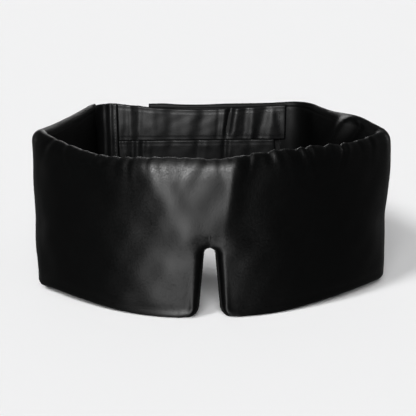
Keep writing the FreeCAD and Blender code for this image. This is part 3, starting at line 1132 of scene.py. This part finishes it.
@dataclass
class SleepBand:
    """Front, wings and tab: satin, lining and wadding."""

    band: PaddedBand

    def make(self) -> list[bpy.types.Object]:
        """Build every piece of the band, and attach the front's pieces."""
        band, path = self.band, self.band.path
        band.build()
        Puffing(band).apply()
        band.wrinkle()
        right_end, left_end = -1.0, path.path_place(band.root_start)
        fold = path.corner_end + float(path.tab_start[0]) - band.tab_fold_x
        root_end = fold - 6 * MM
        made = []
        cuts = {
            Body.FRONT: (-band.split, band.split, "front"),
            Body.RIGHT_WING: (right_end, -band.split, "right_wing"),
            Body.LEFT_WING: (band.split, left_end, "left_wing"),
        }
        for body, (start, stop, name) in cuts.items():
            outer = band.piece(f"{name}_satin", start, stop, Face.OUTER)
            lining = band.piece(f"{name}_lining_cloth", start, stop, Face.INNER)
            wadding = band.piece(f"{name}_wadding", start, stop, None, shrink=0.7 * MM)
            OUTER_SATIN.dress(outer)
            LINING_SATIN.dress(lining)
            WADDING.dress(wadding)
            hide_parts(f"{name}_outer_panel")
            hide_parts(f"{name}_lining")
            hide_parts(f"{name}_padding")
            for cloth, panel in zip((outer, lining), PANELS[body]):
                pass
            made += [outer, lining, wadding]
            for item in (outer, lining, wadding):
                self.hang(item, body)
        root = band.piece("tab_root_cloth", left_end, root_end, None)
        tab = band.piece("tab_cloth", root_end, 1.0, None)
        for item, node in ((root, "tab_root"), (tab, "tab_casing")):
            TAB_SATIN.dress(item)
            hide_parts(node)
        corner = [Vector((*np.ravel(path.at(np.array(s), np.array(3 * MM))), 80 * MM))
                  for s in (path.corner_start - 3 * MM, path.corner_end + 1 * MM)]
        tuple(corner[0])
        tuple(corner[1])
        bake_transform(root)
        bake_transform(tab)
        return made + [root, tab]

    def hang(self, item: bpy.types.Object, body: Body) -> None:
        """Fix a piece to the front, or bake a wing's piece where it lies.

        Args:
            item: the piece.
            body: the body that it belongs to.
        """
        if body is Body.FRONT:
            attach(item, body.value)
            return
        path = self.band.path
        sign = 1 if body is Body.LEFT_WING else -1
        ends = []
        for s in (path.arc_end - 1 * MM, path.temple_end + 9 * MM):
            x, y = path.at(np.array(sign * s), np.array(0.0))
            ends.append(Vector((float(x), float(y), 55 * MM)))
        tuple(ends[0])
        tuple(ends[1])
        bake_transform(item)


@dataclass
class StitchRow:
    """A row of short thread stitches that lie on cloth."""

    pitch: float = 3.0 * MM
    length: float = 2.0 * MM
    radius: float = 0.24 * MM

    def make(self, name: str, line: np.ndarray, out: np.ndarray) -> bpy.types.Object:
        """Lay stitches along a line.

        Args:
            name: the piece's name.
            line: the line's points, in metres.
            out: the direction away from the cloth at each point of the line.

        Returns:
            The new object.
        """
        runs = np.concatenate([[0], np.cumsum(np.linalg.norm(np.diff(line, axis=0), axis=1))])
        count = int(runs[-1] / self.pitch)
        starts = (np.arange(count) + 0.5) * runs[-1] / count
        along = np.array([-0.5, -0.42, -0.2, 0.0, 0.2, 0.42, 0.5])
        swell = np.array([0.15, 0.7, 1.0, 1.05, 1.0, 0.7, 0.15])
        turns = np.arange(8) * math.pi / 4
        points, faces = [], []
        ring = ClothMesh.grid_faces(len(along), 9)
        ring = np.where(ring % 9 == 8, ring - 8, ring)
        for start in starts:
            place = start + along * self.length
            middle = np.stack([np.interp(place, runs, line[:, k]) for k in range(3)], axis=1)
            up = np.stack([np.interp(place, runs, out[:, k]) for k in range(3)], axis=1)
            ahead = middle[-1] - middle[0]
            across = np.cross(ahead / np.linalg.norm(ahead), up)
            middle = middle + up * (self.radius * (0.5 - 1.6 * (2 * along) ** 4))[:, None]
            spread = up[:, None, :] * np.sin(turns)[None, :, None]
            spread = spread + across[:, None, :] * np.cos(turns)[None, :, None]
            tube = middle[:, None, :] + spread * (swell * self.radius)[:, None, None]
            tube = np.concatenate([tube, tube[:, :1]], axis=1)
            faces.append(ring + len(points) * len(along) * 9)
            points.append(tube.reshape(-1, 3))
        return ClothMesh.make(name, np.concatenate(points), np.concatenate(faces))


@dataclass
class BackStraps:
    """The gathered yoke, both straps, and what they hold."""

    inner_y: float
    thickness: float = 2.6 * MM
    sag: tuple = ((-80, 2.2), (-66, 2.4), (-40, -0.6), (-20, -2.2), (5, -2.6), (38, -1.3), (66, 0.4))

    def make(self) -> list[bpy.types.Object]:
        """Build the yoke and both straps, and attach their stitches and hook tape."""
        made = self.yoke()
        for name, body in (("upper", Body.UPPER_STRAP), ("lower", Body.LOWER_STRAP)):
            made += self.strap(name, body)
        return made

    def drop(self, x: np.ndarray) -> np.ndarray:
        """How far the straps' hems stand above or below a straight line."""
        return np.interp(x, *(np.array(self.sag).T * MM))

    def yoke(self) -> list[bpy.types.Object]:
        """The satin piece between the right wing and the straps, and its stitching."""
        low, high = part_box("strap_yoke")
        corner = joint_place("yoke_fold")
        middle = self.inner_y + self.thickness / 2
        wing = np.array([corner.x - 4.5 * MM, corner.y - 8.5 * MM])
        bend = np.array([corner.x - 1 * MM, middle])
        end = np.array([high.x + 0.3 * MM, middle])
        t = np.linspace(0, 1, 12)[:, None]
        curve = (1 - t) ** 2 * wing + 2 * t * (1 - t) * bend + t * t * (bend + np.array([6 * MM, 0]))
        plan = np.concatenate([curve, [end]])
        length = float(np.linalg.norm(np.diff(plan, axis=0), axis=1).sum())

        def wrinkle(a: np.ndarray, z: np.ndarray, face: np.ndarray) -> tuple[np.ndarray, np.ndarray]:
            """The yoke's fold, seam and gathers."""
            back = length - a
            valley, crest = (bump((back - place) / (1.9 * MM)) for place in (5.5 * MM, 9.6 * MM))
            fold = -1.2 * MM * valley + 0.6 * MM * crest
            seam = -0.5 * MM * face * bump((back - 1.8 * MM) / (0.8 * MM))
            gather = 0.15 * MM * Ripples(seed=31, length=7 * MM, stretch=0.2)(a, z)
            return fold + gather + seam, 0.1 * Ripples(seed=32, length=9 * MM)(a, z)

        ribbon = Ribbon(plan, low.z, high.z - 0.6 * MM, self.thickness)
        item = ribbon.make("strap_yoke_cloth", wrinkle)
        self.settle(item, low.z + 30 * MM, high.z, 0.0, 1.0)
        STRAP_SATIN_PAINTED_LIGHT.dress(item)
        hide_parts("strap_yoke")
        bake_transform(item)
        z = np.linspace(low.z + 2 * MM, high.z - 3 * MM, 40)
        y = middle - self.thickness / 2 + 0.15 * MM + 0 * z
        line = np.stack([np.full_like(z, high.x - 1.8 * MM), y, z], axis=1)
        row = StitchRow(pitch=2.6 * MM, length=1.7 * MM).make(
            "yoke_stitches", line, np.tile([0.0, -1.0, 0.0], (len(z), 1)))
        THREAD.dress(row)
        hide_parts("yoke_stitching")
        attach(row, Body.YOKE.value)
        return [item, row]

    def strap(self, name: str, body: Body) -> list[bpy.types.Object]:
        """One strap: sleeve, elastic, hook tape and stitches.

        Args:
            name: upper or lower.
            body: the strap's body.

        Returns:
            The pieces of the strap.
        """
        low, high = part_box(f"{name}_strap_casing")
        middle = self.inner_y + self.thickness / 2
        start = low.x - 0.25 * MM
        plan = np.array([[start, middle], [high.x, middle]])
        folds = {
            "upper": (
                (10.0, 0.9, 2.0, 0.02), (16.5, -0.8, 2.4, 0.05), (27.0, 0.5, 4.0, -0.1),
                (42.0, -0.5, 5.0, 0.3),
                (64.0, -0.6, 4.5, 0.2), (79.0, -0.6, 1.6, 0.05), (83.0, 0.9, 1.6, 0.1),
                (87.3, -2.3, 2.2, 0.14),
                (92.5, 1.0, 2.6, 0.1), (100.0, -0.7, 2.6, 0.05), (105.5, 0.7, 2.6, 0.05),
                (113.5, -1.7, 4.6, 0.22), (121.0, 0.9, 3.4, 0.1), (127.0, -0.8, 3.0, -0.3)),
            "lower": (
                (6.0, 0.7, 1.6, 0.0), (11.0, -1.2, 1.7, 0.05), (15.0, 0.7, 1.6, 0.0), (19.0, -1.1, 1.8, 0.05),
                (24.0, 0.5, 2.4, 0.0), (40.0, -0.5, 4.0, 0.2), (62.0, -1.0, 3.0, 0.1), (68.0, 0.4, 3.0, 0.1),
                (84.0, -1.5, 2.2, 0.05), (88.0, 0.6, 2.2, 0.0), (104.0, -0.4, 3.0, 0.1)),
        }[name]
        seed = {"upper": 41, "lower": 47}[name]
        upper = name == "upper"
        top = high.z - 0.4 * MM if upper else high.z + 1.6 * MM

        def shift(a: np.ndarray, z: np.ndarray) -> np.ndarray:
            """Movement of the strap's cloth towards its outer face."""
            up = z - (low.z + high.z) / 2
            total = -0.25 * MM + 0.22 * MM * Ripples(seed=seed, length=17 * MM, stretch=0.35)(a, z)
            fade = 1.0 if upper else ease((z - low.z + 8 * MM) / (18 * MM))
            deep = ease((z - low.z + 3 * MM) / (12 * MM)) if upper else fade
            for place, depth, width, slant in folds:
                across = (a - place * MM - slant * up) / (width * MM)
                total = total + depth * 0.62 * MM * bump(across) * (deep if 80 < place < 95 else fade)
            near = np.exp(-a / (10 * MM))
            total = total + 0.45 * MM * near * Ripples(seed=seed + 1, length=5.5 * MM, stretch=0.15)(a, z)
            return np.clip(total, -1.7 * MM, 0.9 * MM) * ease(a / (4 * MM))

        def wrinkle(a: np.ndarray, z: np.ndarray, face: np.ndarray) -> tuple[np.ndarray, np.ndarray]:
            """The sleeve's folds and hems."""
            moved = shift(a, z)
            moved = np.where(face < 0, np.maximum(moved, -0.35 * MM), moved)
            hem = sum(-0.3 * bump((gap - 2.4 * MM) / (0.5 * MM)) for gap in (top - z, z - low.z))
            return moved, hem + 0.12 * Ripples(seed=seed + 2, length=12 * MM)(a, z)

        sleeve = Ribbon(plan, low.z, top, self.thickness).make(f"{name}_strap_sleeve", wrinkle)
        self.settle(sleeve, low.z, high.z, 0.0 if upper else 4 * MM, high.x)
        STRAP_SATIN_PAINTED_LIGHT.dress(sleeve)
        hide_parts(f"{name}_strap_casing")
        band_low, band_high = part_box(f"{name}_strap_elastic")
        band_plan = np.array([[band_low.x, middle + 0.2 * MM], [band_high.x, middle + 0.2 * MM]])

        def ribs(a: np.ndarray, z: np.ndarray, _: np.ndarray) -> tuple[np.ndarray, np.ndarray]:
            """The elastic follows its sleeve and is ribbed along."""
            moved = np.maximum(shift(a + band_low.x - start, z), -0.3 * MM)
            return moved * 0.6, 0.12 * np.cos(z * 2 * math.pi / (1.6 * MM))

        elastic = Ribbon(band_plan, band_low.z + 1 * MM, band_high.z - 1 * MM, 0.6 * MM, roll=0.3 * MM).make(
            f"{name}_elastic_band", ribs)
        ELASTIC.dress(elastic)
        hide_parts(f"{name}_strap_elastic")
        self.settle(elastic, low.z, high.z, 0.0 if upper else 4 * MM, high.x)
        made = [sleeve, elastic]
        hook_low, hook_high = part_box(f"{name}_hook_patch")
        hook_plan = np.array([[hook_low.x, hook_low.y + 0.35 * MM], [hook_high.x, hook_low.y + 0.35 * MM]])

        def fuzz(a: np.ndarray, z: np.ndarray, face: np.ndarray) -> tuple[np.ndarray, np.ndarray]:
            """Hooks on the face that meets the loops."""
            return 0 * a, np.where(face < 0, 0.35 * self.hooklets(a, z), 0.0)

        hooks = Ribbon(hook_plan, hook_low.z, hook_high.z, 0.7 * MM, step=0.8 * MM, roll=0.3 * MM).make(
            f"{name}_hook_tape", fuzz)
        HOOKS.dress(hooks)
        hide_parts(f"{name}_hook_patch")
        self.settle(hooks, low.z, high.z, 0.0, high.x)
        made.append(hooks)
        path = sewn_outline(hook_low, hook_high, 120)
        y = middle - shift(path[:, 0] - start, path[:, 1]) - self.thickness / 2
        line = np.stack([path[:, 0], y, path[:, 1]], axis=1)
        stitches = StitchRow(radius=0.16 * MM).make(
            f"{name}_hook_stitches", line, np.tile([0.0, -1.0, 0.0], (len(line), 1)))
        DARK_THREAD.dress(stitches)
        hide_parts(f"{name}_hook_stitching")
        self.settle(stitches, low.z, high.z, 0.0, high.x)
        made.append(stitches)
        for item in (sleeve, elastic):
            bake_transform(item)
        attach(hooks, body.value)
        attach(stitches, body.value)
        return made

    def settle(self, item: bpy.types.Object, low: float, high: float, slant: float, end: float) -> None:
        """Let a strap's piece hang in its soft line, with a slanted free end.

        Args:
            item: the piece.
            low: height of the strap's lower edge.
            high: height of the strap's upper edge.
            slant: how much longer the lower edge is than the upper.
            end: where the strap ends.
        """
        data = item.data
        place = np.empty(3 * len(data.vertices), np.float32)
        data.vertices.foreach_get("co", place)
        place = place.reshape(-1, 3).astype(float)
        up = (place[:, 2] - low) / (high - low)
        near = ease((place[:, 0] - end + 30 * MM) / (30 * MM))
        lift = self.drop(place[:, 0])
        if low > 70 * MM:
            place[:, 2] += lift * ease(np.clip(up, 0, 1))
        place[:, 0] -= slant * np.clip(up, 0, 1) * near
        data.vertices.foreach_set("co", place.reshape(-1).astype(np.float32))
        data.update()

    @staticmethod
    def hooklets(a: np.ndarray, z: np.ndarray) -> np.ndarray:
        """Small regular bumps of hook tape."""
        return np.sin(a * math.pi / (0.8 * MM)) * np.sin(z * math.pi / (0.8 * MM))


@dataclass
class TabFittings:
    """Loop pile, its stitches and the stiffener of the tab."""

    def make(self) -> list[bpy.types.Object]:
        """Build and attach what the tab holds."""
        low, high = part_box("loop_panel")
        middle = (low.y + high.y) / 2
        plan = np.array([[low.x, middle], [high.x, middle]])

        def pile(a: np.ndarray, z: np.ndarray, face: np.ndarray) -> tuple[np.ndarray, np.ndarray]:
            """Soft lumps on one face of the loop panel."""
            fuzz = Ripples(seed=61, length=3.2 * MM)(a, z)
            return 0 * a, np.where(face > 0, 0.22 * fuzz, 0.0)

        panel = Ribbon(plan, low.z, high.z, high.y - low.y, step=1.0 * MM, roll=0.5 * MM)
        loops = panel.make("loop_pile", pile)
        LOOPS.dress(loops)
        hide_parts("loop_panel")
        path = sewn_outline(low, high, 200)
        made = [loops]
        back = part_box("tab_casing")[1].y
        line = np.stack([path[:, 0], np.full(len(path), back + 0.05 * MM), path[:, 1]], axis=1)
        stitches = StitchRow(radius=0.2 * MM).make(
            "loop_stitches", line, np.tile([0.0, 1.0, 0.0], (len(line), 1)))
        DARK_THREAD.dress(stitches)
        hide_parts("loop_stitching")
        low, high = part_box("tab_stiffener")
        middle = (low.y + high.y) / 2
        plan = np.array([[low.x, middle], [high.x, middle]])
        sheet = Ribbon(plan, low.z + 4 * MM, high.z - 5 * MM, high.y - low.y, step=2.5 * MM, roll=0.3 * MM)
        board = sheet.make("tab_interlining")
        INTERLINING.dress(board)
        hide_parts("tab_stiffener")
        made += [stitches, board]
        for item in made:
            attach(item, Body.TAB.value)
        return made


@dataclass
class NotchBinding:
    """The narrow bound edge around the nose notch."""

    band: PaddedBand
    radius: float = 1.1 * MM

    def make(self) -> bpy.types.Object:
        """Sweep the binding around the notch."""
        side = self.band.notch.outline()
        line = np.concatenate([side * [-1, 1], side[::-1][1:]])
        line = resample(line, np.linspace(0.02, 0.98, 150))
        inset = np.gradient(line, axis=0)
        inset = np.stack([inset[:, 1], -inset[:, 0]], axis=1)
        inset = inset / np.linalg.norm(inset, axis=1, keepdims=True)
        depth = 5.2 * MM
        turns = np.arange(13) * 2 * math.pi / 12
        ripple = 1 + 0.08 * np.sin(np.arange(len(line)) * 1.9)
        offset_in = np.cos(turns)[None, :] * self.radius * ripple[:, None]
        offset_deep = np.sin(turns)[None, :] * 1.5 * self.radius
        place = line[:, None, :] + inset[:, None, :] * (offset_in + 0.2 * MM)[..., None]
        x, y = self.band.path.at(place[..., 0], depth + offset_deep)
        points = np.stack([x, y, np.maximum(place[..., 1], 0.1 * MM)], axis=-1).reshape(-1, 3)
        faces = ClothMesh.grid_faces(len(line), len(turns))
        along = np.repeat(np.arange(len(line)), len(turns)) * MM
        uv = np.stack([along, np.tile(turns, len(line)) * self.radius], axis=1)
        item = ClothMesh.make("notch_bound_edge", points, faces, uv)
        BINDING.dress(item)
        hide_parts("notch_binding")
        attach(item, Body.FRONT.value)
        return item


@dataclass
class Studio:
    """Pale floor, soft lights and the camera."""

    distance: float = 537.5 * MM
    height: float = 278.1 * MM
    pitch: float = math.radians(20.29)
    yaw: float = math.radians(2.17)
    aside: float = 1.25 * MM
    focal: float = 77.9

    def make(self) -> None:
        """Set up the whole studio."""
        self.floor()
        self.camera()
        self.lights()
        scene = bpy.context.scene
        scene.view_settings.view_transform = "Standard"
        world = bpy.data.worlds.new("studio_air")
        world.use_nodes = True
        world.node_tree.nodes["Background"].inputs["Color"].default_value = (1, 1, 1, 1)
        world.node_tree.nodes["Background"].inputs["Strength"].default_value = 0.16
        scene.world = world

    def floor(self) -> None:
        """A plain pale floor."""
        bpy.ops.mesh.primitive_plane_add(size=12, location=(0, 0, -0.3 * MM))
        floor = bpy.context.object
        floor.name = "studio_floor"
        made = bpy.data.materials.new("studio_floor")
        made.use_nodes = True
        shader = made.node_tree.nodes["Principled BSDF"]
        shader.inputs["Base Color"].default_value = (0.86, 0.86, 0.865, 1)
        shader.inputs["Roughness"].default_value = 0.7
        shader.inputs["Specular IOR Level"].default_value = 0.0
        floor.data.materials.append(made)
        floor.visible_glossy = False

    def camera(self) -> None:
        """The camera, in front of and above the mask."""
        front = CAD_BOX[0].y
        turn, back = self.yaw, -self.distance
        x = -self.aside * math.cos(turn) + back * math.sin(turn)
        y = self.aside * math.sin(turn) + back * math.cos(turn)
        lens = bpy.data.cameras.new("camera")
        lens.lens = self.focal
        lens.sensor_width = 36
        lens.clip_end = 50
        camera = bpy.data.objects.new("camera", lens)
        camera.location = (x, front + y, self.height)
        camera.rotation_euler = (math.pi / 2 - self.pitch, 0, -turn)
        bpy.context.scene.collection.objects.link(camera)
        bpy.context.scene.camera = camera

    def lights(self) -> None:
        """Soft daylight from the left and the front, and boxes that only show as gloss."""
        self.daylight("key", math.radians(-54), math.radians(48), math.radians(14), 1.7)
        self.daylight("front", math.radians(-8), math.radians(42), math.radians(35), 2.2)
        self.gloss_box(math.radians(-12), math.radians(11), 2.4, 0.42, 0.35, 170.0)
        self.gloss_box(math.radians(-12), math.radians(30), 2.4, 0.3, 0.35, 130.0)
        for azimuth in (-112, 112, 180):
            self.gloss_box(math.radians(azimuth), math.radians(12), 2.4, 0.5, 0.6, 5.0)

    def aim(self, name: str, light: bpy.types.Light, azimuth: float, elevation: float,
            away: float) -> bpy.types.Object:
        """Place a light around the mask and turn it to face the mask.

        Args:
            name: the light's name.
            light: the light.
            azimuth: direction from the mask in plan, 0 in front and positive to the viewer's right.
            elevation: height angle above the floor.
            away: distance from the mask.

        Returns:
            The light's object.
        """
        item = bpy.data.objects.new(name, light)
        flat = away * math.cos(elevation)
        place = Vector((flat * math.sin(azimuth), -flat * math.cos(azimuth), away * math.sin(elevation)))
        item.location = place + Vector((0, CAD_BOX[0].y, 0.06))
        item.rotation_euler = (-place).to_track_quat("-Z", "Y").to_euler()
        bpy.context.scene.collection.objects.link(item)
        return item

    def daylight(self, name: str, azimuth: float, elevation: float, softness: float, strength: float) -> None:
        """Even light from one direction.

        Args:
            name: the light's name.
            azimuth: direction in plan.
            elevation: height angle.
            softness: the angle that the light covers.
            strength: its strength.
        """
        light = bpy.data.lights.new(name, "SUN")
        light.angle = softness
        light.energy = strength
        self.aim(name, light, azimuth, elevation, 3.0).visible_glossy = False

    def gloss_box(self, azimuth: float, elevation: float, away: float, width: float, depth: float,
                  power: float) -> None:
        """A soft box that lights only the shine of the cloth.

        Args:
            azimuth: direction in plan.
            elevation: height angle.
            away: distance from the mask.
            width: the box's width.
            depth: the box's height.
            power: its power in watts.
        """
        light = bpy.data.lights.new("gloss_box", "AREA")
        light.shape = "RECTANGLE"
        light.size, light.size_y = width, depth
        light.energy = power
        item = self.aim("gloss_box", light, azimuth, elevation, away)
        item.visible_diffuse = False


def main() -> None:
    """Build the mask and the studio, and report each piece."""
    logging.basicConfig(level=logging.INFO, format="%(message)s")
    front = CAD_BOX[0].y
    temple = joint_place("left_wing_fold")
    path = BandPath(front_y=front, back_y=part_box("tab_casing")[1].y, temple=temple)
    band = PaddedBand(path=path, notch=Notch(), height=CAD_BOX[1].z)
    pieces = SleepBand(band).make()
    pieces += BackStraps(inner_y=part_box("upper_strap_casing")[0].y).make()
    pieces += TabFittings().make()
    pieces.append(NotchBinding(band).make())
    for item in pieces:
        LOG.info("%s: %d faces", item.name, len(item.data.polygons))
    Studio().make()


if __name__ == "__main__":
    main()
